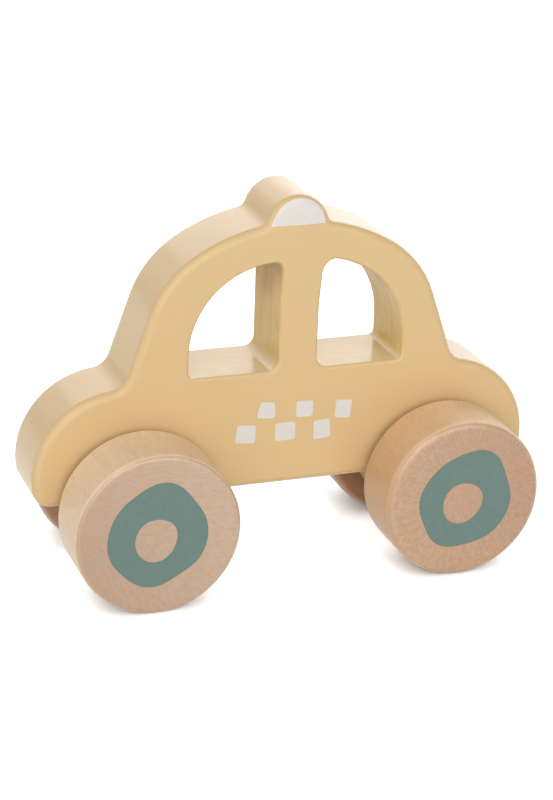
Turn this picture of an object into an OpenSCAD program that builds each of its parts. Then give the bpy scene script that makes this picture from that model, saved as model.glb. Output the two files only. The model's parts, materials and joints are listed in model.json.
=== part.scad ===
// Wooden toy taxi: a rounded slab body on two turning axles with four glued wheels.
// The nose points along +X, the car's left side along +Y, and the wheels stand on Z = 0.

/* [Body] */
// Length from nose to tail
body_l = 141; // [134:0.2:165]
// Thickness of the board that the body is sawn from
body_t = 22; // [18:0.5:28]
// Height of the flat underside above the floor
underside_z = 24; // [22:0.2:28]
// Height of the bonnet's top above the underside
bonnet_h = 31.2; // [28:0.2:36]
// Radius of the round nose and tail
nose_r = 23.7; // [20:0.1:28]
// Radius where the nose and tail turn in to the underside
keel_r = 5.6; // [4:0.1:7]
// Radius that rounds over every edge of the outline
edge_r = 2.2; // [1.5:0.1:4]

/* [Cabin] */
// Distance that the cabin and the axles sit behind the middle of the body
setback = 1.2; // [0:0.1:3]
// Width of the cabin where its screens meet the level of the bonnet's top
cabin_w = 94; // [84:0.2:104]
// Height of the roof's crown above the bonnet's top
cabin_h = 43; // [39:0.2:50]
// Lean of the two screens from upright, in degrees
screen_lean = 19.3; // [14:0.1:24]
// Radius between a screen and the roof
shoulder_r = 29.5; // [26:0.5:34]
// Depth of the shoulder arc's top below the roof's crown
shoulder_drop = 3.4; // [2.5:0.1:5]
// Radius of the hollow between a screen and the bonnet or boot
cowl_r = 5.6; // [3:0.1:8]

/* [Roof sign] */
// Distance that the sign sits behind the middle of the cabin
sign_back = 0.2; // [0:0.1:2]
// Radius of the sign's round top
sign_r = 8.8; // [7:0.1:10]
// Height of the sign above the roof's crown
sign_h = 7; // [5.5:0.1:8]
// Radius of the hollow between the sign and the roof
sign_fillet_r = 3; // [1:0.1:5]

/* [Windows] */
// Distance that the door pillar sits behind the middle of the cabin
pillar_back = 0.9; // [0:0.1:3]
// Width of the pillar between the windows
pillar_w = 10.6; // [8:0.2:14]
// Width of each window
window_w = 25; // [20:0.2:28]
// Height of each window
window_h = 30.4; // [26:0.2:33]
// Height of the window sills above the bonnet's top
sill_h = 1.7; // [0.5:0.1:3]
// Height of the straight edge below a window's arched corner
window_side_h = 6.4; // [5:0.1:9]
// Radius of the front window's corner between the roof and the pillar
front_head_r = 1.7; // [1:0.1:5]
// Radius of the rear window's corner between the roof and the pillar
rear_head_r = 3.6; // [1:0.1:5]
// Radius of a window's corner at its outer foot
outer_foot_r = 1.7; // [1:0.1:3]
// Radius of a window's corner at the pillar's foot
pillar_foot_r = 3; // [2:0.1:4]
// Radius that eases the windows' edges
window_ease_r = 1; // [0.6:0.1:2]

/* [Wheels] */
// Diameter of a wheel
wheel_d = 45; // [42:0.5:50]
// Width of a wheel
wheel_w = 19; // [16:0.5:24]
// Radius that eases a wheel's two edges
wheel_edge_r = 2; // [1:0.1:3]
// Distance between the two axles
wheelbase = 86.2; // [80:0.2:92]
// Gap between a wheel and the side of the body
side_gap = 1.5; // [0.8:0.1:2.5]

/* [Axles] */
// Diameter of the dowel axles
axle_d = 8; // [6:0.5:10]
// Depth of the blind bore in a wheel
socket_depth = 12; // [9:0.5:14]
// Chamfer on the ends of a dowel
axle_chamfer = 0.8; // [0.4:0.1:1.5]
// Radius of the body's lobe around an axle
lobe_r = 16; // [12:0.2:18]
// Radius of the hollow between a lobe and the underside, less where the nose or tail leaves no room
lobe_fillet_r = 2.5; // [1.5:0.1:4]
// Gap all round the dowel in the body's bore
running_clearance = 0.25; // [0.15:0.05:0.5]
// Gap all round the dowel in a wheel's bore, filled by glue
glue_gap = 0.05; // [0.02:0.01:0.1]

/* [Hidden] */
// Depth by which a cut runs past the face that it opens
overrun = 1;
// Depth by which the eased edge of a window starts outside the face
ease_lip = 0.05;
// Largest turn between neighbouring points on an arc, in degrees
arc_step = 8;
// Largest distance between neighbouring points on an arc
arc_chord = 3;
// Distance under which two points are one
same_point = 0.001;
// Flat steps that round over an edge of the outline
edge_steps = 5;
// Flat steps that ease an edge of a window
ease_steps = 3;
// Flat steps that ease an edge of a wheel
wheel_steps = 5;
// Facets of the drawn circles
round_fn = 96;

cabin_x = -setback;
front_axle_x = cabin_x + wheelbase / 2;
rear_axle_x = cabin_x - wheelbase / 2;
axle_z = wheel_d / 2;
bonnet_z = underside_z + bonnet_h;
roof_z = bonnet_z + cabin_h;
sill_z = bonnet_z + sill_h;
nose_x = body_l / 2 - nose_r;
nose_z = bonnet_z - nose_r;
wheel_face_y = body_t / 2 + side_gap;
axle_l = 2 * (wheel_face_y + socket_depth - glue_gap);
paint = [0.87, 0.73, 0.5];
beech = [0.82, 0.66, 0.5];

// Direction from one point to another, from -180 to 180 degrees
function bearing(from, to) = atan2(to.y - from.y, to.x - from.x);

// The same direction, from 0 to 360 degrees
function full_bearing(from, to) = (bearing(from, to) + 360) % 360;

// Upper point where the line through p along the unit vector u is a given distance from c
function on_line(p, u, c, distance) =
    let (foot = p + u * ((c - p) * u))
    foot + u * sqrt(distance * distance - (c - foot) * (c - foot));

// Point at distance ra from a and rb from b, to the right of the way from a to b
function between(a, ra, b, rb) =
    let (
        d = norm(b - a),
        u = (b - a) / d,
        along = (d * d + ra * ra - rb * rb) / (2 * d),
        across = sqrt(ra * ra - along * along)
    )
    a + u * along + [u.y, -u.x] * across;

// An arc is [centre, radius, first angle, last angle]. Where its angles fall, it is hollow.
// A point on it at an angle, moved inwards by an inset
function on_arc(arc, angle, inset) =
    arc[0] + (arc[1] - sign(arc[3] - arc[2]) * inset) * [cos(angle), sin(angle)];

function arc_steps(arc) =
    let (turn = abs(arc[3] - arc[2]))
    ceil(max(turn / arc_step, turn * arc[1] * PI / 180 / arc_chord));

// Does an arc start where the one before it ends?
function is_joined(arcs, i) =
    i > 0 && norm(on_arc(arcs[i], arcs[i][2], 0) - on_arc(arcs[i - 1], arcs[i - 1][3], 0)) < same_point;

// Points along arcs that follow each other, with straight lines where they don't meet
function chain(arcs, inset) = [
    for (i = [0 : len(arcs) - 1])
        let (arc = arcs[i], steps = arc_steps(arc))
        for (k = [is_joined(arcs, i) ? 1 : 0 : steps])
            on_arc(arc, arc[2] + (arc[3] - arc[2]) * k / steps, inset)
];

// Distance along X from an axle to the middle of a hollow of radius r beside its lobe
function hollow_reach(r) = sqrt(pow(lobe_r + r, 2) - pow(axle_z - underside_z + r, 2));

// Radius of the hollow that fills a given distance along X from an axle
function widest_hollow(reach) =
    let (drop = axle_z - underside_z)
    (pow(reach, 2) + pow(drop, 2) - pow(lobe_r, 2)) / (2 * (lobe_r - drop));

// Half of the outline, from the middle of the underside outwards and up to the sign's top.
// X runs from the cabin's middle to the nose (side 1) or to the tail (side -1).
function half_outline(side) =
    let (
        nose = [nose_x - side * cabin_x, nose_z],
        axle = [wheelbase / 2, axle_z],
        keel_z = underside_z + keel_r,
        keel = [nose.x + sqrt(pow(nose_r - keel_r, 2) - pow(nose_z - keel_z, 2)), keel_z],
        outer_r = min(lobe_fillet_r, widest_hollow(keel.x - axle.x)),
        inner_hollow = [axle.x - hollow_reach(lobe_fillet_r), underside_z - lobe_fillet_r],
        outer_hollow = [axle.x + hollow_reach(outer_r), underside_z - outer_r],
        foot = [cabin_w / 2, bonnet_z],
        up = [-sin(screen_lean), cos(screen_lean)],
        out = [cos(screen_lean), sin(screen_lean)],
        cowl = on_line(foot + out * cowl_r, up, nose, nose_r + cowl_r),
        shoulder_z = roof_z - shoulder_drop - shoulder_r,
        shoulder_foot = foot - out * shoulder_r,
        shoulder = shoulder_foot + up * (shoulder_z - shoulder_foot.y) / up.y,
        lift = roof_z - shoulder_r,
        roof = [0, (pow(lift, 2) - pow(shoulder.y, 2) - pow(shoulder.x, 2)) / (2 * shoulder_drop)],
        roof_r = roof_z - roof.y,
        board = [-side * sign_back, roof_z + sign_h - sign_r],
        gutter = between(roof, roof_r + sign_fillet_r, board, sign_r + sign_fillet_r)
    )
    [
        [inner_hollow, lobe_fillet_r, 90, bearing(inner_hollow, axle)],
        [axle, lobe_r, full_bearing(axle, inner_hollow), 360 + bearing(axle, outer_hollow)],
        [outer_hollow, outer_r, full_bearing(outer_hollow, axle), 90],
        [keel, keel_r, -90, bearing(nose, keel)],
        [nose, nose_r, bearing(nose, keel), bearing(nose, cowl)],
        [cowl, cowl_r, full_bearing(cowl, nose), 180 + screen_lean],
        [shoulder, shoulder_r, screen_lean, bearing(roof, shoulder)],
        [roof, roof_r, bearing(roof, shoulder), bearing(roof, gutter)],
        [gutter, sign_fillet_r, full_bearing(gutter, roof), full_bearing(gutter, board)],
        [board, sign_r, bearing(board, gutter), 90]
    ];

// Arcs of a half outline that lie in front of its screen
lower_arcs = 6;
front_half = half_outline(1);
rear_half = half_outline(-1);

// The closed outline, moved inwards by an inset: up the front, over the roof and down the rear
function outline(inset) =
    let (
        front = chain(front_half, inset),
        rear = chain(rear_half, inset),
        top = len(rear) - 2
    )
    concat(
        [for (p = front) [cabin_x + p.x, p.y]],
        [for (i = [top : -1 : 0]) [cabin_x - rear[i].x, rear[i].y]]
    );

// Arched window from the pillar outwards, as arcs that start at its outer edge
function window_outline(head_r) =
    let (
        inner_x = pillar_w / 2,
        outer_x = inner_x + window_w,
        top_z = sill_z + window_h,
        arch_r = window_h - window_side_h,
        arch = [outer_x - arch_r, top_z - arch_r],
        head = on_line([inner_x + head_r, arch.y], [0, 1], arch, arch_r - head_r),
        pillar_foot = [inner_x + pillar_foot_r, sill_z + pillar_foot_r],
        outer_foot = [outer_x - outer_foot_r, sill_z + outer_foot_r]
    )
    [
        [arch, arch_r, 0, bearing(arch, head)],
        [head, head_r, bearing(arch, head), 180],
        [pillar_foot, pillar_foot_r, 180, 270],
        [outer_foot, outer_foot_r, 270, 360]
    ];

function at_depth(points, y) = [for (p = points) [p.x, y, p.y]];

function flat(lists) = [for (list = lists) each list];

// Faces between equal rings that follow each other along Y, seen from outside
function skin(rings, n) = flat([
    for (r = [0 : rings - 2])
        for (i = [0 : n - 1])
            let (j = (i + 1) % n, a = r * n, b = a + n)
            [[a + i, a + j, b + j], [a + i, b + j, b + i]]
]);

function flipped(faces) = [for (f = faces) [f[2], f[1], f[0]]];

// The slab with every edge of its outline rounded over.
// Each end is closed by fans about three points: in the nose, in the cabin and in the tail.
module rounded_slab() {
    angles = [for (k = [0 : edge_steps]) 90 * k / edge_steps];
    half_t = body_t / 2;
    insets = [for (a = angles) edge_r * (1 - sin(a))];
    depths = [for (a = angles) half_t - edge_r * (1 - cos(a))];
    rings = concat(
        [for (k = [0 : edge_steps]) at_depth(outline(insets[k]), -depths[k])],
        [for (k = [edge_steps : -1 : 0]) at_depth(outline(insets[k]), depths[k])]
    );
    n = len(rings[0]);
    front_n = len(chain([for (i = [0 : lower_arcs - 1]) front_half[i]], 0));
    rear_n = len(chain([for (i = [0 : lower_arcs - 1]) rear_half[i]], 0));
    hubs = [[nose_x, nose_z], [cabin_x, bonnet_z], [-nose_x, nose_z]];
    first_hub = len(rings) * n;
    zones = [for (i = [0 : n - 1]) i < front_n - 1 ? 0 : i < n - rear_n || i == n - 1 ? 1 : 2];
    fan = concat(
        [for (i = [0 : n - 1]) [i, (i + 1) % n, n + zones[i]]],
        [
            for (i = [0 : n - 1])
                let (before = zones[(i + n - 1) % n])
                if (before != zones[i]) [i, n + zones[i], n + before]
        ]
    );
    near = [for (f = fan) [for (v = f) v < n ? v : first_hub + v - n]];
    far = [for (f = fan) [for (v = f) v < n ? v + first_hub - n : first_hub + len(hubs) + v - n]];
    polyhedron(
        points = concat(flat(rings), at_depth(hubs, -half_t), at_depth(hubs, half_t)),
        faces = concat(skin(len(rings), n), flipped(near), far)
    );
}

// Cutter for the window ahead of the pillar, widened at both faces so that it eases their edges
module window_cutter(head_r) {
    arcs = window_outline(head_r);
    half_t = body_t / 2;
    angles = [for (k = [0 : ease_steps]) 90 * k / ease_steps];
    grown = concat([for (a = angles) window_ease_r * (1 - cos(a))], [window_ease_r]);
    depths = concat(
        [for (a = angles) half_t + ease_lip - window_ease_r * (1 - sin(a))],
        [half_t + overrun]
    );
    last = len(grown) - 1;
    rings = concat(
        [for (k = [last : -1 : 0]) at_depth(chain(arcs, -grown[k]), -depths[k])],
        [for (k = [0 : last]) at_depth(chain(arcs, -grown[k]), depths[k])]
    );
    n = len(rings[0]);
    far = (len(rings) - 1) * n;
    polyhedron(
        points = flat(rings),
        faces = concat(
            skin(len(rings), n),
            [for (i = [1 : n - 2]) [0, i + 1, i]],
            [for (i = [1 : n - 2]) [far, far + i, far + i + 1]]
        )
    );
}

module body() {
    color(paint)
    difference() {
        rounded_slab();
        translate([cabin_x - pillar_back, 0, 0]) {
            window_cutter(front_head_r);
            mirror([1, 0, 0]) window_cutter(rear_head_r);
        }
        for (x = [front_axle_x, rear_axle_x]) {
            translate([x, 0, axle_z])
            rotate([90, 0, 0])
            cylinder(d = axle_d + 2 * running_clearance, h = body_t + 2 * overrun, center = true, $fn = round_fn);
        }
    }
}

// Dowel with chamfered ends, across the car
module axle(x) {
    r = axle_d / 2;
    end = axle_l / 2;
    color(beech)
    translate([x, 0, axle_z])
    rotate([90, 0, 0])
    rotate_extrude($fn = round_fn)
    polygon([
        [0, -end],
        [r - axle_chamfer, -end],
        [r, axle_chamfer - end],
        [r, end - axle_chamfer],
        [r - axle_chamfer, end],
        [0, end]
    ]);
}

// Turned disc with eased edges and a blind bore in its inner face. side is 1 on the left, -1 on the right.
module wheel(x, side) {
    r = wheel_d / 2;
    bore_r = axle_d / 2 + glue_gap;
    rim_r = r - wheel_edge_r;
    quarter = [for (k = [0 : wheel_steps]) 90 * k / wheel_steps];
    color(beech)
    translate([x, side * wheel_face_y, axle_z])
    rotate([-side * 90, 0, 0])
    rotate_extrude($fn = round_fn)
    polygon(concat(
        [[bore_r, 0]],
        [for (a = quarter) [rim_r + wheel_edge_r * sin(a), wheel_edge_r * (1 - cos(a))]],
        [for (a = quarter) [rim_r + wheel_edge_r * cos(a), wheel_w - wheel_edge_r * (1 - sin(a))]],
        [[0, wheel_w], [0, socket_depth], [bore_r, socket_depth]]
    ));
}

module front_axle() axle(front_axle_x);

module rear_axle() axle(rear_axle_x);

module front_left_wheel() wheel(front_axle_x, 1);

module front_right_wheel() wheel(front_axle_x, -1);

module rear_left_wheel() wheel(rear_axle_x, 1);

module rear_right_wheel() wheel(rear_axle_x, -1);

body();
front_axle();
rear_axle();
front_left_wheel();
front_right_wheel();
rear_left_wheel();
rear_right_wheel();
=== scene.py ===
"""A wooden push-along toy taxi: a painted board on lacquered wheels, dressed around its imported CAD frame.

Lengths are metres, with +X forward through the nose, +Y to the car's left side and +Z up from the floor.
"""

import json
import math

import bpy
from mathutils import Matrix, Vector


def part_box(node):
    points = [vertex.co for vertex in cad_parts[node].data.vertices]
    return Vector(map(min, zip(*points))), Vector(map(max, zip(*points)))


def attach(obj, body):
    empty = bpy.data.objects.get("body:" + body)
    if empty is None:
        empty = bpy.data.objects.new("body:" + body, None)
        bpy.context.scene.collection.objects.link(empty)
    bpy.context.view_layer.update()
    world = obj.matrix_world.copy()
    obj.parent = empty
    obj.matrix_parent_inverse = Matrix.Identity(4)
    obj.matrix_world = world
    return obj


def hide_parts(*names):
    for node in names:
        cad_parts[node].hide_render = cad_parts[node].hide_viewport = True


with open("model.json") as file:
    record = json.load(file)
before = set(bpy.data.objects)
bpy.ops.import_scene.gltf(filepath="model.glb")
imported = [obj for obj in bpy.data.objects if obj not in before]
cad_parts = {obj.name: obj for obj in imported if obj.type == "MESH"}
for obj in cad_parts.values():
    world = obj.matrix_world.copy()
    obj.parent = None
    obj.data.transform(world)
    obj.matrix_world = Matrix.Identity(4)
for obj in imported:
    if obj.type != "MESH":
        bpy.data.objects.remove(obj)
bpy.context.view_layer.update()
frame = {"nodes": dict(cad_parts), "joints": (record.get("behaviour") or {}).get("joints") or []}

MM = 0.001

# Where the CAD model puts things
SIDE_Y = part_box("body")[1].y
AXLE = {joint["child"]: Vector(joint["pos_m"]) for joint in frame["joints"]}
ENDS = ("front", "rear")
SIDES = {"left": 1, "right": -1}

# Joining and shading of copied meshes
JOIN_WITHIN = 0.001 * MM
FLAT_WITHIN = math.radians(0.05)
SMOOTH_BELOW = math.radians(35)

# Window walls: their box, a point in each window, and the most that a wall's normal tips to the side
WINDOWS_X = (-34 * MM, 30 * MM)
WINDOWS_Z = (56 * MM, 89 * MM)
WINDOWS_MIDDLE = {"front": Vector((12 * MM, 0, 68 * MM)), "rear": Vector((-17 * MM, 0, 68 * MM))}
WALL_TILT = 0.5

# The door pillar, sawn by eye: a little further back than drawn, its rear edge leaning back at the top
PILLAR_X = -2.1 * MM
PILLAR_HALF = 5.3 * MM
PILLAR_FADE = (1 * MM, 10 * MM)
PILLAR_SHIFT = {"front": 0.14 * MM, "rear": 0.45 * MM}
PILLAR_LEAN = 0.9 * MM
PILLAR_LEAN_Z = (72.5 * MM, 88.5 * MM)
PILLAR_CUTS = 9
PILLAR_REACH = 1.2 * MM

# Sprayed paint: pale and dark tones of the outside, the window walls and the sills, whose tones are painted
# greyer and darker as shade against the light they catch from above
PAINT_TONES = ("#DBBA86", "#D9B884")
WALL_TONES = ("#EED699", "#DCBD7F")
SHADED_SILL_TONES = ("#E0C99A", "#D5BC8C")
WALL_STEEP = {"From Min": 0.3, "From Max": 0.8, "To Min": 1, "To Max": 0}

# Painted shade under the windows' heads: its brown tone, and the heights between which it darkens the walls
HEAD_SHADE_TONE = "#A98257"
HEAD_SHADE_RISE = {"From Min": 74 * MM, "From Max": 86 * MM, "To Max": 0.8}

# The paint's patterns, with sizes along x, y and z in mm, and how far each is stretched
PAINT_GRAIN = (40, 1.5, 1.5)
PAINT_CLOUD = 22 * MM
PAINT_DEPTH = {"From Min": 0.7, "From Max": 1.3}
WALL_STREAK = (16, 2, 16)
WALL_PATCH = 9 * MM
WALL_BARE = {"From Min": 0.1, "From Max": 0.5}

# The paint's lacquer, from the outside to the sills, what the walls lack of it and how much rougher they are
LACQUER = {"To Min": 0.8, "To Max": 0.72}
WALL_LACK = 0.42
WALL_ROUGHER = 0.2
PAINT_ROUGHNESS = {"From Min": 0.3, "From Max": 0.7, "To Min": 0.5, "To Max": 0.58}
PAINT_RIPPLE = 0.6 * MM
GRAIN_RELIEF = 0.5
PAINT_BUMP = {"Strength": 0.15, "Distance": 0.05 * MM}
PAINT_FINISH = {"IOR": 1.3, "Coat IOR": 1.3, "Coat Roughness": 0.19}

# Wheels, with a narrow flat band beside the eased edge that is a share of its radius
WHEEL_SIDES = 160
WHEEL_R = (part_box("front_left_wheel")[1].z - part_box("front_left_wheel")[0].z) / 2
EDGE_STEPS = 8
EDGE_R = {"front": 1.6 * MM, "rear": 2.3 * MM}
FLAT_BAND = 0.25
SOCKET_DEPTH = 12 * MM
SOCKET_GAP = 0.05 * MM

# Wheel wood: the tree's middle as seen from a wheel's hub, how far off it is from a wheel on the average,
# and how wide a ray is there, how long towards the middle and how long along the fibres
PITH = {"front": Vector((34 * MM, 0, 20 * MM)), "rear": Vector((-3 * MM, 0, 4 * MM))}
RAY_FROM_PITH = {"front": 39 * MM, "rear": 15 * MM}
RAY_WIDTH = {"front": 0.35 * MM, "rear": 0.45 * MM}
RAY_LENGTH = {"front": 2.4 * MM, "rear": 1.6 * MM}
RAY_DEPTH = 6 * MM
RAY_SPAN = {"From Min": 0.28, "From Max": 0.72}

# Growth rings, which wander a little on the way round, and pores, with sizes along x, y and z in mm
GROWTH_APART = 1.8 * MM
GROWTH_WANDER = 1.5
GROWTH_DEPTH = 60 * MM
GROWTH_SPAN = {"From Min": 0.3, "From Max": 0.7}
PORE_SIZE = (0.3, 3, 0.3)
PORE_SPAN = {"From Min": 0.55, "From Max": 0.75}

# How far the surface faces along the axle: on a wheel's faces, on its inner face alone and on an eased edge
FACE_FACING = {"From Min": 0.55, "From Max": 0.98}
INNER_FACING = (0.6, 0.95)
EDGE_FACING = 0.72

# Pale and dark tones of the rims and faces
RIM_TONES = {"front": ("#EED2AF", "#E8CAA5"), "rear": ("#EECCA3", "#E5C79B")}
FACE_TONES = {"front": ("#CCB399", "#C1A389"), "rear": ("#CDAB8D", "#BA9373")}

# Browner tones over them, the most that shows of each, and the way towards which each face darkens; the
# browns on the rear rims and the inner faces are painted shade
DARK_SIDE = {"front": math.radians(-30), "rear": math.radians(170)}
DARK_SIDE_TONE = "#99694A"
DARK_SIDE_RISE = {"From Min": -0.8, "From Max": 0.9, "To Max": 0.28}
RIM_SHADE = {"front": 0, "rear": 0.42}
RIM_SHADE_TONE = "#A8713F"
GROWTH_TONE = "#B98F6C"
GROWTH_SHARE = 0.14
PORE_TONE = "#A67C58"
PORE_SHARE = 0.2
EDGE_TONE = "#AC7242"
EDGE_BURNISH = {"From Max": 0.24, "To Min": 0.7, "To Max": 0}
INNER_SHADE = {"front": 0.3, "rear": 0.7}
INNER_SHADE_TONE = "#A96F43"

# The wheels' lacquer, from the edges to the rest
EDGE_LACQUER = {"From Max": 0.26, "To Min": 1, "To Max": 0.15}
WHEEL_ROUGHNESS = {"To Min": 0.5, "To Max": 0.6}
WHEEL_BUMP = {"Strength": 0.2, "Distance": 0.05 * MM}
WHEEL_FINISH = {"IOR": 1.4, "Coat IOR": 1.8, "Coat Roughness": 0.13}

# Dowel wood, with the size of its streaks along x, y and z in mm
DOWEL_TONES = ("#CFAE88", "#B48E66")
DOWEL_GRAIN = (0.6, 12, 0.6)
DOWEL_SPAN = {"From Min": 0.35, "From Max": 0.65}
DOWEL_ROUGHNESS = {"To Min": 0.6, "To Max": 0.72}
DOWEL_BUMP = {"Strength": 0.3, "Distance": 0.06 * MM}

# Printing inks, pale and dark
WHITE_INK = ("#DED7CF", "#DBD4CC")
GREEN_INK = ("#657C73", "#627970")
INK_MOTTLE = 1.6 * MM
INK_SPAN = {"From Min": 0.35, "From Max": 0.65}
INK_ROUGHNESS = {"To Min": 0.5, "To Max": 0.6}
INK_BUMP = {"Strength": 0.1, "Distance": 0.03 * MM}

# Printed films: their thickness, what stands proud of it, and how far a wheel's face gives way to its ring
FILM = 0.12 * MM
PROUD = 0.03 * MM
RING_ROOM = 0.05 * MM
RING_POINTS = 144

# Ring outlines: mean radius, then waves as (number round the wheel, height, angle of a crest in degrees)
RING_OUTER = {
    "front": (13.8, [(1, 0.5, 15), (2, 0.5, -70), (3, 0.3, -35), (4, 0.4, 10), (6, 0.2, -20)]),
    "rear": (13.65, [(1, 0.4, 165), (2, 0.5, -60), (3, 0.25, -15), (4, 0.45, 25), (6, 0.2, 0)]),
}
RING_INNER = {
    "front": (5.8, [(1, 1.4, -50), (2, 0.3, -60), (3, 0.15, 40)]),
    "rear": (5.8, [(1, 0.9, -60), (2, 0.2, -50), (3, 0.15, 50)]),
}

# Chequer squares, in mm: middle x and z, width at the top and at the foot, height, lean in degrees
SQUARES = [
    (11.9, 39.6, 5.3, 5.7, 5.2, 5),
    (6.1, 46.0, 4.1, 5.2, 4.6, 6),
    (0.7, 39.4, 5.7, 5.8, 5.2, 0),
    (-4.7, 45.4, 4.9, 4.6, 4.6, 1),
    (-9.9, 39.0, 4.6, 4.9, 5.5, -3),
    (-15.9, 44.3, 4.8, 4.4, 5.2, 5),
]
SQUARE_CORNER = 0.7 * MM
SQUARE_STEPS = 4

# Sign panel: a half-moon with its front foot drawn out a little
PANEL_MIDDLE = Vector((-1.35 * MM, 0, 97.45 * MM))
PANEL_R = 7.1 * MM
PANEL_FOOT = 0.8 * MM
PANEL_FOOT_ANGLE = math.radians(35)
PANEL_POINTS = 96
PANEL_RINGS = 15
PANEL_STAND_OFF = 2 * MM
PANEL_PROUD = 0.07 * MM

# The photograph's camera, which sees 553 by 800 pixels
FOCAL_PIXELS = 2285
IMAGE_HEIGHT = 800
SENSOR = 36
CAMERA_TURN = math.radians(159.78)
CAMERA_RISE = math.radians(21.68)
CAMERA_ROLL = math.radians(2.01)
CAMERA_AWAY = 625.3 * MM
CAMERA_AIM = Vector((-0.58 * MM, 0, 44.08 * MM))
CAMERA_NEAR = 10 * MM

# Soft lamps: name, turn and rise in degrees as the views count them, distance, width, height, radiance
LAMPS = [
    ("side_wall", 175, 22, 1.3, 2.4, 0.9, 1.86),
    ("catch_strip", 182, 47, 1.1, 1.7, 0.08, 7.0),
    ("nose_wall", 100, 22, 1.3, 1.8, 0.9, 0.6),
    ("nose_top", 110, 55, 1.3, 1.6, 0.7, 1.05),
    ("overhead", 160, 85, 1.2, 1.2, 1.2, 0.15),
    ("back_wall", 340, 22, 1.2, 2.4, 0.9, 0.7),
    ("back_sheen", 340, 25, 1.0, 1.3, 0.3, 1.5),
    ("low_back_sheen", 340, 8, 1.0, 1.3, 0.3, 0.5),
    ("tail_sheen", 300, 12, 1.0, 0.9, 0.4, 0.57),
]

# White all round, and a floor that glows for the eye, more far from the toy and less close under it, where
# ambient occlusion dims the glow into a painted contact shadow
WHITE = "#FFFFFF"
SKY_FILL = 0.06
FLOOR_SIZE = 8
FLOOR_TONE = "#EFF3F8"
FLOOR_FINISH = {"Roughness": 0.9, "Specular IOR Level": 0}
FLOOR_GLOW = {"From Min": 0.3, "From Max": 1.2, "To Min": 0.74, "To Max": 1}
FLOOR_CONTACT_SHADE = 7 * MM


def linear(colour):
    """Linear RGBA from an sRGB hex value such as #DDBE8B."""
    parts = [int(colour[i:i + 2], 16) / 255 for i in (1, 3, 5)]
    return [p / 12.92 if p <= 0.04045 else ((p + 0.055) / 1.055) ** 2.4 for p in parts] + [1]


def add(tree, kind, inputs=None, **settings):
    """Adds a shader node with its settings; each input takes a constant or a socket to link from."""
    node = tree.nodes.new("ShaderNode" + kind)
    for setting, value in settings.items():
        setattr(node, setting, value)
    for socket, value in (inputs or {}).items():
        if isinstance(value, bpy.types.NodeSocket):
            tree.links.new(value, node.inputs[socket])
        else:
            node.inputs[socket].default_value = value
    return node


def per_mm(x, y, z):
    """Mapping scale that makes a pattern's unit these sizes in mm."""
    return (1 / (x * MM), 1 / (y * MM), 1 / (z * MM))


def new_material(name, finish):
    """A material with one shader that has the values of its finish, ready for its nodes."""
    material = bpy.data.materials.new(name)
    material.use_nodes = True
    tree = material.node_tree
    shader = tree.nodes["Principled BSDF"]
    for socket, value in finish.items():
        shader.inputs[socket].default_value = value
    return material, tree, shader


def link(tree, socket, shader, name):
    """Links a node's socket to one of the shader's inputs."""
    tree.links.new(socket, shader.inputs[name])


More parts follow.
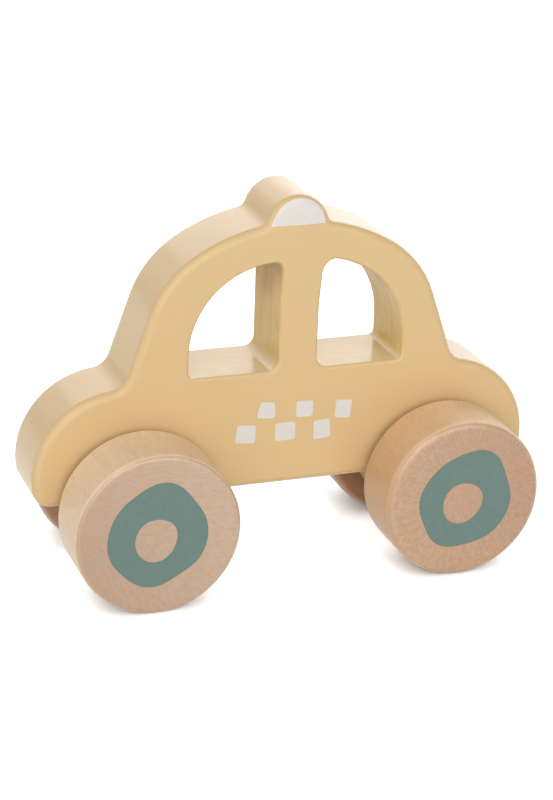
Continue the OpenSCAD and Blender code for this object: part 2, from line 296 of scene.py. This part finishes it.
def satin_paint_on_beech():
    """Pale yellow paint sprayed in two coats on a sanded beech board.

    It gives an even colour with a soft sheen, in which the grain just shows as long faint streaks, and inside
    the windows, where the gun hardly reaches, one thin coat that the wood shows through.
    """
    material, tree, shader = new_material("satin_paint_on_beech", PAINT_FINISH)
    source = add(tree, "TexCoord")
    where = source.outputs["Object"]

    # The board's grain runs along the car, in long narrow streaks
    along = add(tree, "Mapping", {"Vector": where, "Scale": per_mm(*PAINT_GRAIN)})
    grain = add(tree, "TexNoise", {"Vector": along.outputs[0], "Scale": 1, "Detail": 3, "Roughness": 0.55})
    cloud = add(tree, "TexNoise", {"Vector": where, "Scale": 1 / PAINT_CLOUD, "Detail": 2})
    film = add(tree, "Math", {0: grain.outputs[0], 1: cloud.outputs[0]}, operation="ADD")
    depth = add(tree, "MapRange", {"Value": film.outputs[0], **PAINT_DEPTH})
    pale, dark = map(linear, PAINT_TONES)
    coat = add(tree, "Mix", {0: depth.outputs[0], 6: pale, 7: dark}, data_type="RGBA")

    # Inside the windows, streaks run along the wall, thin across the board, and come and go in patches
    across = add(tree, "Mapping", {"Vector": where, "Scale": per_mm(*WALL_STREAK)})
    streak = add(tree, "TexNoise", {"Vector": across.outputs[0], "Scale": 1, "Detail": 4, "Roughness": 0.6})
    patch = add(tree, "TexNoise", {"Vector": where, "Scale": 1 / WALL_PATCH, "Detail": 2})
    worn = add(tree, "Math", {0: streak.outputs[0], 1: patch.outputs[0]}, operation="MULTIPLY")
    bare = add(tree, "MapRange", {"Value": worn.outputs[0], **WALL_BARE})
    pale, dark = map(linear, WALL_TONES)
    wood = add(tree, "Mix", {0: bare.outputs[0], 6: pale, 7: dark}, data_type="RGBA")

    # Painted shade: the sills lie flat and catch more light from above, so they are toned greyer and darker
    # than the steep walls
    facing = add(tree, "SeparateXYZ", {0: source.outputs["Normal"]})
    steep = add(tree, "MapRange", {"Value": facing.outputs[2], **WALL_STEEP})
    pale, dark = map(linear, SHADED_SILL_TONES)
    sill = add(tree, "Mix", {0: bare.outputs[0], 6: pale, 7: dark}, data_type="RGBA")
    wall = add(
        tree, "Mix", {0: steep.outputs[0], 6: sill.outputs[2], 7: wood.outputs[2]}, data_type="RGBA"
    )

    # Painted shade: the walls darken to brown in patches towards the heads of the windows, where shade falls
    height = add(tree, "SeparateXYZ", {0: where})
    head_shade = add(tree, "MapRange", {"Value": height.outputs[2], **HEAD_SHADE_RISE})
    shade_showing = add(tree, "Math", {0: head_shade.outputs[0], 1: patch.outputs[0]}, operation="MULTIPLY")
    head_shaded = add(
        tree, "Mix", {0: shade_showing.outputs[0], 6: wall.outputs[2], 7: linear(HEAD_SHADE_TONE)}, data_type="RGBA"
    )
    thin = add(tree, "Attribute", attribute_name="thin_coat")
    colour = add(
        tree, "Mix", {0: thin.outputs["Fac"], 6: coat.outputs[2], 7: head_shaded.outputs[2]}, data_type="RGBA"
    )
    link(tree, colour.outputs[2], shader, "Base Color")

    # The walls are dull besides, but for the sills, where the lacquer settles
    dull = add(tree, "Math", {0: thin.outputs["Fac"], 1: steep.outputs[0]}, operation="MULTIPLY")
    lacquer = add(tree, "MapRange", {"Value": thin.outputs["Fac"], **LACQUER})
    gloss = add(
        tree, "Math", {0: dull.outputs[0], 1: -WALL_LACK, 2: lacquer.outputs[0]}, operation="MULTIPLY_ADD"
    )
    link(tree, gloss.outputs[0], shader, "Coat Weight")
    sheen = add(tree, "MapRange", {"Value": cloud.outputs[0], **PAINT_ROUGHNESS})
    rough = add(
        tree, "Math", {0: dull.outputs[0], 1: WALL_ROUGHER, 2: sheen.outputs[0]}, operation="MULTIPLY_ADD"
    )
    link(tree, rough.outputs[0], shader, "Roughness")

    # Sprayed paint dries with a fine ripple, drawn wider than it is so that it shows
    ripple = add(tree, "TexNoise", {"Vector": where, "Scale": 1 / PAINT_RIPPLE, "Detail": 2})
    relief = add(
        tree, "Math", {0: grain.outputs[0], 1: GRAIN_RELIEF, 2: ripple.outputs[0]}, operation="MULTIPLY_ADD"
    )
    bump = add(tree, "Bump", {"Height": relief.outputs[0], **PAINT_BUMP})
    link(tree, bump.outputs[0], shader, "Normal")
    return material


def lacquered_beech(end, side):
    """Beech turned across the end of a squared rail, sanded and sealed with clear lacquer.

    The faces are end grain, pinkish, with short pale and dark ray flecks pointing at the pith and faint
    growth rings across them. The rim is long grain, warmer, with fine streaks across the tread. The eased
    edge is burnished darker, and the lacquer puts a bright line on it.
    """
    material, tree, shader = new_material(f"lacquered_beech_{end}_{side}", WHEEL_FINISH)
    out = SIDES[side]
    hub = AXLE[end + "_wheels"]
    source = add(tree, "TexCoord")
    where = source.outputs["Object"]

    # Angle round the pith, distance from it and place along the fibres
    centred = add(tree, "Mapping", {"Vector": where, "Location": -(hub + PITH[end])})
    flat = add(tree, "VectorMath", {0: centred.outputs[0], 1: (1, 0, 1)}, operation="MULTIPLY")
    reach = add(tree, "VectorMath", {0: flat.outputs[0]}, operation="LENGTH")
    parts = add(tree, "SeparateXYZ", {0: centred.outputs[0]})
    turn = add(tree, "Math", {0: parts.outputs[2], 1: parts.outputs[0]}, operation="ARCTAN2")
    polar = add(tree, "CombineXYZ", {0: turn.outputs[0], 1: reach.outputs["Value"], 2: parts.outputs[1]})

    # Rays are short flecks that point at the pith
    ray_scale = (RAY_FROM_PITH[end] / RAY_WIDTH[end], 1 / RAY_LENGTH[end], 1 / RAY_DEPTH)
    ray_map = add(tree, "Mapping", {"Vector": polar.outputs[0], "Scale": ray_scale})
    rays = add(tree, "TexNoise", {"Vector": ray_map.outputs[0], "Scale": 1, "Detail": 2, "Roughness": 0.6})
    ray_tone = add(tree, "MapRange", {"Value": rays.outputs[0], **RAY_SPAN})

    # Growth rings run round the pith and are hardly darker than the rest
    growth_scale = (GROWTH_WANDER, 1 / GROWTH_APART, 1 / GROWTH_DEPTH)
    growth_map = add(tree, "Mapping", {"Vector": polar.outputs[0], "Scale": growth_scale})
    growth = add(tree, "TexNoise", {"Vector": growth_map.outputs[0], "Scale": 1, "Detail": 1})
    growth_tone = add(tree, "MapRange", {"Value": growth.outputs[0], **GROWTH_SPAN})

    # Pores are drawn wider than they are so that they show, and are long along the fibres
    pore_map = add(tree, "Mapping", {"Vector": where, "Scale": per_mm(*PORE_SIZE)})
    pores = add(tree, "TexNoise", {"Vector": pore_map.outputs[0], "Scale": 1, "Detail": 1})
    pore_tone = add(tree, "MapRange", {"Value": pores.outputs[0], **PORE_SPAN})

    # Face, eased edge and rim, told apart by how far the surface faces along the axle
    facing = add(tree, "SeparateXYZ", {0: source.outputs["Normal"]})
    upright = add(tree, "Math", {0: facing.outputs[1]}, operation="ABSOLUTE")
    ends = add(tree, "MapRange", {"Value": upright.outputs[0], **FACE_FACING})
    pale, dark = map(linear, RIM_TONES[end])
    long_grain = add(tree, "Mix", {0: ray_tone.outputs[0], 6: pale, 7: dark}, data_type="RGBA")
    pale, dark = map(linear, FACE_TONES[end])
    end_grain = add(tree, "Mix", {0: ray_tone.outputs[0], 6: pale, 7: dark}, data_type="RGBA")
    wood = add(
        tree, "Mix", {0: ends.outputs[0], 6: long_grain.outputs[2], 7: end_grain.outputs[2]}, data_type="RGBA"
    )

    # Each face darkens towards one side
    turned = DARK_SIDE[end]
    lean = Vector((math.cos(turned), 0, math.sin(turned))) / WHEEL_R
    hubbed = add(tree, "Mapping", {"Vector": where, "Location": -hub})
    drift = add(tree, "VectorMath", {0: hubbed.outputs[0], 1: lean}, operation="DOT_PRODUCT")
    shadow = add(tree, "MapRange", {"Value": drift.outputs["Value"], **DARK_SIDE_RISE})
    on_face = add(tree, "Math", {0: shadow.outputs[0], 1: ends.outputs[0]}, operation="MULTIPLY")
    drifted = add(
        tree, "Mix", {0: on_face.outputs[0], 6: wood.outputs[2], 7: linear(DARK_SIDE_TONE)}, data_type="RGBA"
    )

    # Painted shade: the rear rims are browner towards the front of the car, where they face the shade under
    # the body
    ahead = add(tree, "SeparateXYZ", {0: hubbed.outputs[0]})
    to_front = {"From Min": 0, "From Max": WHEEL_R, "To Max": RIM_SHADE[end]}
    brown = add(tree, "MapRange", {"Value": ahead.outputs[0], **to_front})
    off_face = add(tree, "Math", {0: 1.0, 1: ends.outputs[0]}, operation="SUBTRACT")
    on_rim = add(tree, "Math", {0: brown.outputs[0], 1: off_face.outputs[0]}, operation="MULTIPLY")
    rim_shaded = add(
        tree,
        "Mix",
        {0: on_rim.outputs[0], 6: drifted.outputs[2], 7: linear(RIM_SHADE_TONE)},
        data_type="RGBA",
    )

    # Rings and pores go over these tones
    growth_share = add(tree, "Math", {0: growth_tone.outputs[0], 1: GROWTH_SHARE}, operation="MULTIPLY")
    ringed = add(
        tree,
        "Mix",
        {0: growth_share.outputs[0], 6: rim_shaded.outputs[2], 7: linear(GROWTH_TONE)},
        data_type="RGBA",
    )
    pore_share = add(tree, "Math", {0: pore_tone.outputs[0], 1: PORE_SHARE}, operation="MULTIPLY")
    pored = add(
        tree, "Mix", {0: pore_share.outputs[0], 6: ringed.outputs[2], 7: linear(PORE_TONE)}, data_type="RGBA"
    )

    # The edges are burnished, and lacquer gathers on them, so that they shine more than the rest
    edge = add(tree, "Math", {0: upright.outputs[0], 1: EDGE_FACING}, operation="SUBTRACT")
    off_edge = add(tree, "Math", {0: edge.outputs[0]}, operation="ABSOLUTE")
    burnish = add(tree, "MapRange", {"Value": off_edge.outputs[0], **EDGE_BURNISH})
    burnished = add(
        tree, "Mix", {0: burnish.outputs[0], 6: pored.outputs[2], 7: linear(EDGE_TONE)}, data_type="RGBA"
    )
    gloss = add(tree, "MapRange", {"Value": off_edge.outputs[0], **EDGE_LACQUER})
    link(tree, gloss.outputs[0], shader, "Coat Weight")

    # Painted shade: the inner face, which faces the body and hardly shows, is darkened browner, most on the
    # rear wheels
    begins, whole = [-out * share for share in INNER_FACING]
    to_inside = {"From Min": begins, "From Max": whole, "To Max": INNER_SHADE[end]}
    inward = add(tree, "MapRange", {"Value": facing.outputs[1], **to_inside})
    sawn = add(
        tree,
        "Mix",
        {0: inward.outputs[0], 6: burnished.outputs[2], 7: linear(INNER_SHADE_TONE)},
        data_type="RGBA",
    )
    link(tree, sawn.outputs[2], shader, "Base Color")

    # Rays and pores give a fine relief, and the darker rays are a little rougher
    rough = add(tree, "MapRange", {"Value": ray_tone.outputs[0], **WHEEL_ROUGHNESS})
    link(tree, rough.outputs[0], shader, "Roughness")
    relief = add(tree, "Math", {0: rays.outputs[0], 1: pores.outputs[0]}, operation="SUBTRACT")
    bump = add(tree, "Bump", {"Height": relief.outputs[0], **WHEEL_BUMP})
    link(tree, bump.outputs[0], shader, "Normal")
    return material


def bare_beech_dowel():
    """A planed beech dowel left bare: long fine streaks along the rod, matt, a little darker than a wheel."""
    material, tree, shader = new_material("bare_beech_dowel", {})
    where = add(tree, "TexCoord").outputs["Object"]
    along = add(tree, "Mapping", {"Vector": where, "Scale": per_mm(*DOWEL_GRAIN)})
    grain = add(tree, "TexNoise", {"Vector": along.outputs[0], "Scale": 1, "Detail": 3})
    tone = add(tree, "MapRange", {"Value": grain.outputs[0], **DOWEL_SPAN})
    pale, dark = map(linear, DOWEL_TONES)
    wood = add(tree, "Mix", {0: tone.outputs[0], 6: pale, 7: dark}, data_type="RGBA")
    link(tree, wood.outputs[2], shader, "Base Color")
    rough = add(tree, "MapRange", {"Value": tone.outputs[0], **DOWEL_ROUGHNESS})
    link(tree, rough.outputs[0], shader, "Roughness")
    bump = add(tree, "Bump", {"Height": grain.outputs[0], **DOWEL_BUMP})
    link(tree, bump.outputs[0], shader, "Normal")
    return material


def screen_printed_paint(name, ink_tones):
    """Matt paint screen-printed on wood: flat and even, with a fine mottle where the ink took unevenly."""
    material, tree, shader = new_material("screen_printed_paint_" + name, {})
    where = add(tree, "TexCoord").outputs["Object"]
    mottle = add(tree, "TexNoise", {"Vector": where, "Scale": 1 / INK_MOTTLE, "Detail": 3})
    tone = add(tree, "MapRange", {"Value": mottle.outputs[0], **INK_SPAN})
    pale, dark = map(linear, ink_tones)
    ink = add(tree, "Mix", {0: tone.outputs[0], 6: pale, 7: dark}, data_type="RGBA")
    link(tree, ink.outputs[2], shader, "Base Color")
    rough = add(tree, "MapRange", {"Value": tone.outputs[0], **INK_ROUGHNESS})
    link(tree, rough.outputs[0], shader, "Roughness")
    bump = add(tree, "Bump", {"Height": mottle.outputs[0], **INK_BUMP})
    link(tree, bump.outputs[0], shader, "Normal")
    return material


def only(piece):
    """Leaves edit mode and makes this piece the one selected, active object."""
    if bpy.context.object and bpy.context.object.mode != "OBJECT":
        bpy.ops.object.mode_set(mode="OBJECT")
    bpy.ops.object.select_all(action="DESELECT")
    piece.select_set(True)
    bpy.context.view_layer.objects.active = piece


def edit(piece, kind, chosen):
    """Opens a piece in edit mode with only the chosen vertices, edges or faces selected."""
    only(piece)
    bpy.ops.object.mode_set(mode="EDIT")
    bpy.ops.mesh.select_mode(type=kind)
    bpy.ops.mesh.select_all(action="DESELECT")
    bpy.ops.object.mode_set(mode="OBJECT")
    mesh = piece.data
    elements = {"VERT": mesh.vertices, "EDGE": mesh.edges, "FACE": mesh.polygons}[kind]
    for element in elements:
        element.select = chosen(element)
    bpy.ops.object.mode_set(mode="EDIT")


def apply_modifier(piece, kind, **settings):
    """Adds one modifier with its settings and applies it."""
    only(piece)
    bpy.ops.object.modifier_add(type=kind)
    modifier = piece.modifiers[-1]
    for setting, value in settings.items():
        setattr(modifier, setting, value)
    bpy.ops.object.modifier_apply(modifier=modifier.name)


def shade(piece):
    """Smooth shading on rounded faces, with the flat faces keeping their own normal."""
    only(piece)
    bpy.ops.object.shade_smooth_by_angle(angle=SMOOTH_BELOW)
    apply_modifier(piece, "WEIGHTED_NORMAL", keep_sharp=True)


def place(piece, name, material, body, node=None):
    """Names a finished piece, gives it its finish and fastens it to its CAD body."""
    only(piece)
    bpy.ops.object.transform_apply(location=True, rotation=True, scale=True)
    piece.name = name
    piece.data.name = name
    piece.data.materials.clear()
    piece.data.materials.append(material)
    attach(piece, body)
    if node:
        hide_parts(node)


def joined_copy(node):
    """A copy of a CAD node's mesh with its loose triangles joined and its flat faces made whole."""
    piece = bpy.data.objects.new(node + "_copy", frame["nodes"][node].data.copy())
    bpy.context.scene.collection.objects.link(piece)
    edit(piece, "FACE", lambda face: True)
    bpy.ops.mesh.remove_doubles(threshold=JOIN_WITHIN)
    bpy.ops.mesh.dissolve_limited(angle_limit=FLAT_WITHIN)
    only(piece)
    return piece


def smooth_step(value, low, high):
    """0 below low, 1 above high and a smooth rise between them."""
    share = min(1, max(0, (value - low) / (high - low)))
    return share * share * (3 - 2 * share)


def set_pillar_back(board):
    """Moves the pillar's two walls to where the saw left them."""
    rear_wall = PILLAR_X - PILLAR_HALF
    sill = WINDOWS_Z[0]
    low, high = PILLAR_LEAN_Z
    for cut in range(PILLAR_CUTS):
        edit(
            board,
            "FACE",
            lambda face: abs(face.center.x - rear_wall) < PILLAR_REACH and sill < face.center.z < high,
        )
        level = Vector((0, 0, low + (high - low) * cut / (PILLAR_CUTS - 1)))
        bpy.ops.mesh.bisect(plane_co=level, plane_no=(0, 0, 1))
    only(board)
    for point in board.data.vertices:
        spot = point.co
        if not (WINDOWS_X[0] < spot.x < WINDOWS_X[1] and WINDOWS_Z[0] < spot.z < WINDOWS_Z[1]):
            continue
        away = abs(spot.x - PILLAR_X) - PILLAR_HALF
        share = 1 - smooth_step(away, *PILLAR_FADE)
        shift = PILLAR_SHIFT["front"]
        if spot.x < PILLAR_X:
            shift = PILLAR_SHIFT["rear"] + PILLAR_LEAN * smooth_step(spot.z, *PILLAR_LEAN_Z)
        point.co.x -= share * shift


def mark_window_walls(board):
    """Stores where the coat is thin: 1 on the walls of the windows, 0 on the rest."""
    mesh = board.data
    thin = [0.0] * len(mesh.vertices)
    for face in mesh.polygons:
        middle = face.center
        inside = WINDOWS_X[0] < middle.x < WINDOWS_X[1] and WINDOWS_Z[0] < middle.z < WINDOWS_Z[1]
        faces_in = any(face.normal.dot(window - middle) > 0 for window in WINDOWS_MIDDLE.values())
        if inside and faces_in and abs(face.normal.y) < WALL_TILT:
            for vertex in face.vertices:
                thin[vertex] = 1.0
    coat = mesh.attributes.new("thin_coat", "FLOAT", "POINT")
    coat.data.foreach_set("value", thin)


def painted_board():
    """The body, sawn from one board, sanded round and sprayed."""
    board = joined_copy("body")
    set_pillar_back(board)
    mark_window_walls(board)
    shade(board)
    place(board, "painted_board", satin_paint_on_beech(), "body", "body")
    return board


def dowel_axle(end, material):
    """The wooden dowel that joins a pair of wheels."""
    dowel = joined_copy(end + "_axle")
    shade(dowel)
    place(dowel, "dowel_" + end, material, end + "_wheels", end + "_axle")


def is_disc(face, y):
    """Whether a wheel's face is the flat disc at this y."""
    return abs(face.center.y - y) < JOIN_WITHIN and len(face.vertices) > 4


def turned_wheel(end, side):
    """One wheel: a disc with both edges eased and a blind socket in its inner face for the dowel."""
    node = f"{end}_{side}_wheel"
    low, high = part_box(node)
    out = SIDES[side]
    inner_y = min(abs(low.y), abs(high.y))
    outer_y = max(abs(low.y), abs(high.y)) - RING_ROOM
    radius = (high.z - low.z) / 2
    axle_low, axle_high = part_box(end + "_axle")
    socket_r = (axle_high.z - axle_low.z) / 2 + SOCKET_GAP
    middle = AXLE[end + "_wheels"] + Vector((0, out * (inner_y + outer_y) / 2, 0))
    bpy.ops.object.select_all(action="DESELECT")
    bpy.ops.mesh.primitive_cylinder_add(
        vertices=WHEEL_SIDES,
        radius=radius,
        depth=outer_y - inner_y,
        location=middle,
        rotation=(math.pi / 2, 0, 0),
    )
    wheel = bpy.context.object
    bpy.ops.object.transform_apply(location=True, rotation=True, scale=True)

    corners = wheel.data.vertices
    edit(
        wheel,
        "EDGE",
        lambda edge: abs(corners[edge.vertices[0]].co.y - corners[edge.vertices[1]].co.y) < MM,
    )
    bpy.ops.mesh.bevel(offset=EDGE_R[end], segments=EDGE_STEPS, profile=0.5, affect="EDGES")
    edit(wheel, "FACE", lambda face: is_disc(face, out * inner_y))
    bpy.ops.mesh.inset(thickness=radius - EDGE_R[end] - socket_r)
    bpy.ops.mesh.extrude_region_move(TRANSFORM_OT_translate={"value": (0, out * SOCKET_DEPTH, 0)})
    edit(wheel, "FACE", lambda face: is_disc(face, out * outer_y))
    bpy.ops.mesh.inset(thickness=FLAT_BAND * EDGE_R[end])
    shade(wheel)
    return wheel


def as_film(sheet, out):
    """Gives a flat or wrapped sheet the thickness of a paint film, sunk into what it is printed on."""
    edit(sheet, "FACE", lambda face: face.normal.y * out < 0)
    bpy.ops.mesh.flip_normals()
    apply_modifier(sheet, "SOLIDIFY", thickness=FILM, offset=-1)
    shade(sheet)
    return sheet


def wavy_radius(outline, angle):
    """A hand-drawn ring's radius at an angle round the wheel."""
    mean, waves = outline
    return MM * (mean + sum(h * math.cos(n * (angle - math.radians(crest))) for n, h, crest in waves))


def painted_ring(end, side):
    """The ring printed on a wheel's outer face, a little uneven as if cut by hand."""
    out = SIDES[side]
    low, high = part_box(f"{end}_{side}_wheel")
    face_y = max(abs(low.y), abs(high.y)) - RING_ROOM
    hub = AXLE[end + "_wheels"]
    bpy.ops.object.select_all(action="DESELECT")
    bpy.ops.mesh.primitive_circle_add(
        vertices=RING_POINTS,
        radius=RING_OUTER[end][0] * MM,
        location=(hub.x, out * (face_y + PROUD), hub.z),
        rotation=(math.pi / 2, 0, 0),
    )
    ring = bpy.context.object
    bpy.ops.object.transform_apply(location=True, rotation=True, scale=True)
    edit(ring, "EDGE", lambda edge: True)
    inward = RING_INNER[end][0] / RING_OUTER[end][0]
    bpy.ops.mesh.extrude_edges_move()
    bpy.ops.transform.resize(value=(inward, 1, inward), center_override=(hub.x, out * face_y, hub.z))
    only(ring)
    halfway = MM * (RING_INNER[end][0] + RING_OUTER[end][0]) / 2
    for point in ring.data.vertices:
        arm = Vector((point.co.x - hub.x, 0, point.co.z - hub.z))
        angle = math.atan2(arm.z, arm.x)
        outline = RING_OUTER[end] if arm.length > halfway else RING_INNER[end]
        arm.length = wavy_radius(outline, angle)
        point.co = Vector((hub.x, point.co.y, hub.z)) + arm
    return as_film(ring, out)


def chequer_square(x, z, top, foot, height, lean):
    """One flat square with its corners rounded, on the middle plane of the board."""
    bpy.ops.object.select_all(action="DESELECT")
    bpy.ops.mesh.primitive_plane_add(size=1, rotation=(math.pi / 2, 0, 0))
    square = bpy.context.object
    bpy.ops.object.transform_apply(location=True, rotation=True, scale=True)
    for corner in square.data.vertices:
        width = top if corner.co.z > 0 else foot
        corner.co = Vector((corner.co.x * width, 0, corner.co.z * height)) * MM
    edit(square, "VERT", lambda vertex: True)
    bpy.ops.mesh.bevel(offset=SQUARE_CORNER, segments=SQUARE_STEPS, affect="VERTICES")
    only(square)
    square.data.transform(Matrix.Rotation(math.radians(-lean), 4, "Y"))
    square.data.transform(Matrix.Translation((x * MM, 0, z * MM)))
    return square


def chequers(side):
    """The six chequer squares on one side of the body."""
    out = SIDES[side]
    squares = [chequer_square(*square) for square in SQUARES]
    only(squares[0])
    for square in squares:
        square.select_set(True)
    bpy.ops.object.join()
    band = bpy.context.object
    band.data.transform(Matrix.Translation((0, out * (SIDE_Y + PROUD), 0)))
    return as_film(band, out)


def sign_panel(side, board):
    """The white half-moon on the roof sign, which laps on to the rounded edge of the sign."""
    out = SIDES[side]
    middle = PANEL_MIDDLE + Vector((0, out * (SIDE_Y + PANEL_STAND_OFF), 0))
    bpy.ops.object.select_all(action="DESELECT")
    bpy.ops.mesh.primitive_circle_add(
        vertices=PANEL_POINTS,
        radius=PANEL_R,
        location=middle,
        rotation=(math.pi / 2, 0, 0),
    )
    panel = bpy.context.object
    bpy.ops.object.transform_apply(location=True, rotation=True, scale=True)
    edit(panel, "EDGE", lambda edge: True)
    for step in range(PANEL_RINGS):
        shrink = 1 - 1 / (PANEL_RINGS + 1 - step)
        bpy.ops.mesh.extrude_edges_move()
        bpy.ops.transform.resize(value=(shrink, 1, shrink), center_override=middle)
    bpy.ops.mesh.fill()
    bpy.ops.mesh.select_all(action="SELECT")
    bpy.ops.mesh.bisect(plane_co=middle, plane_no=(0, 0, 1), clear_inner=True)
    only(panel)
    for point in panel.data.vertices:
        angle = math.atan2(point.co.z - middle.z, point.co.x - middle.x)
        share = max(0, 1 - angle / PANEL_FOOT_ANGLE)
        point.co.x += PANEL_FOOT * share ** 2 * (point.co.x - middle.x) / PANEL_R
    apply_modifier(
        panel,
        "SHRINKWRAP",
        target=board,
        wrap_method="PROJECT",
        use_project_y=True,
        use_negative_direction=True,
        use_positive_direction=True,
        offset=PANEL_PROUD,
    )
    return as_film(panel, out)


def standing(turn, rise, away):
    """A place seen from the toy at this turn and rise, as the views count them."""
    return away * Vector((math.sin(turn) * math.cos(rise), -math.cos(turn) * math.cos(rise), math.sin(rise)))


def softbox(name, turn, rise, away, width, height, radiance):
    """A soft lamp that faces the toy and that the camera doesn't see."""
    lamp = bpy.data.lights.new(name, "AREA")
    lamp.shape = "RECTANGLE"
    lamp.size = width
    lamp.size_y = height
    lamp.energy = radiance * math.pi * width * height
    box = bpy.data.objects.new(name, lamp)
    box.location = CAMERA_AIM + standing(math.radians(turn), math.radians(rise), away)
    box.rotation_euler = (box.location - CAMERA_AIM).to_track_quat("Z", "Y").to_euler()
    box.visible_camera = False
    bpy.context.scene.collection.objects.link(box)


def seen(tree):
    """1 for rays that come straight from the camera or by way of a gloss or glass, else 0."""
    path = add(tree, "LightPath")
    straight = add(
        tree,
        "Math",
        {0: path.outputs["Is Camera Ray"], 1: path.outputs["Is Glossy Ray"]},
        operation="MAXIMUM",
    )
    return add(
        tree, "Math", {0: straight.outputs[0], 1: path.outputs["Is Transmission Ray"]}, operation="MAXIMUM"
    ).outputs[0]


def studio():
    """A white floor that keeps the lamps' shadow and a painted contact shadow, white all round, and the soft
    lamps.
    """
    world = bpy.data.worlds.new("studio")
    world.use_nodes = True
    bpy.context.scene.world = world
    sky = world.node_tree
    strength = add(sky, "Math", {0: seen(sky), 1: 1 - SKY_FILL, 2: SKY_FILL}, operation="MULTIPLY_ADD")
    backdrop = sky.nodes["Background"]
    backdrop.inputs["Color"].default_value = linear(WHITE)
    link(sky, strength.outputs[0], backdrop, "Strength")

    bpy.ops.object.select_all(action="DESELECT")
    bpy.ops.mesh.primitive_plane_add(size=FLOOR_SIZE)
    floor = bpy.context.object
    floor.name = "floor"
    paper, tree, shader = new_material("white_paper_floor", FLOOR_FINISH)
    shader.inputs["Base Color"].default_value = linear(FLOOR_TONE)
    shader.inputs["Emission Color"].default_value = linear(WHITE)
    # Painted contact shadow: the glow is dimmed by ambient occlusion close beside and under the toy, and kept
    # lower near it so that the lamps' shadow shows
    contact = add(tree, "AmbientOcclusion", {"Distance": FLOOR_CONTACT_SHADE})
    spread = add(tree, "VectorMath", {0: add(tree, "TexCoord").outputs["Object"]}, operation="LENGTH")
    level = add(tree, "MapRange", {"Value": spread.outputs["Value"], **FLOOR_GLOW})
    glow = add(tree, "Math", {0: contact.outputs["AO"], 1: level.outputs[0]}, operation="MULTIPLY")
    shown = add(tree, "Math", {0: seen(tree), 1: glow.outputs[0]}, operation="MULTIPLY")
    link(tree, shown.outputs[0], shader, "Emission Strength")
    floor.data.materials.append(paper)

    for lamp in LAMPS:
        softbox(*lamp)


def photo_camera():
    """A camera at the photograph's viewing angle, rolled as the photograph is."""
    data = bpy.data.cameras.new("camera")
    data.sensor_width = SENSOR
    data.lens = FOCAL_PIXELS * SENSOR / IMAGE_HEIGHT
    data.clip_start = CAMERA_NEAR
    camera = bpy.data.objects.new("camera", data)
    back = standing(CAMERA_TURN, CAMERA_RISE, 1)
    right = Vector((0, 0, 1)).cross(back).normalized()
    up = back.cross(right)
    level = Matrix((right, up, back)).transposed()
    rolled = level @ Matrix.Rotation(CAMERA_ROLL, 3, "Z")
    camera.matrix_world = Matrix.Translation(CAMERA_AIM + CAMERA_AWAY * back) @ rolled.to_4x4()
    bpy.context.scene.collection.objects.link(camera)
    bpy.context.scene.camera = camera


bpy.context.scene.view_settings.view_transform = "Standard"
photo_camera()
studio()

white_print = screen_printed_paint("white", WHITE_INK)
green_print = screen_printed_paint("grey_green", GREEN_INK)
dowel_wood = bare_beech_dowel()
board = painted_board()
for end in ENDS:
    dowel_axle(end, dowel_wood)
    for side in SIDES:
        wheel_wood = lacquered_beech(end, side)
        wheel = turned_wheel(end, side)
        place(wheel, f"wheel_{end}_{side}", wheel_wood, end + "_wheels", f"{end}_{side}_wheel")
        ring = painted_ring(end, side)
        place(ring, f"ring_{end}_{side}", green_print, end + "_wheels")
for side in SIDES:
    place(chequers(side), "chequers_" + side, white_print, "body")
    place(sign_panel(side, board), "sign_panel_" + side, white_print, "body")
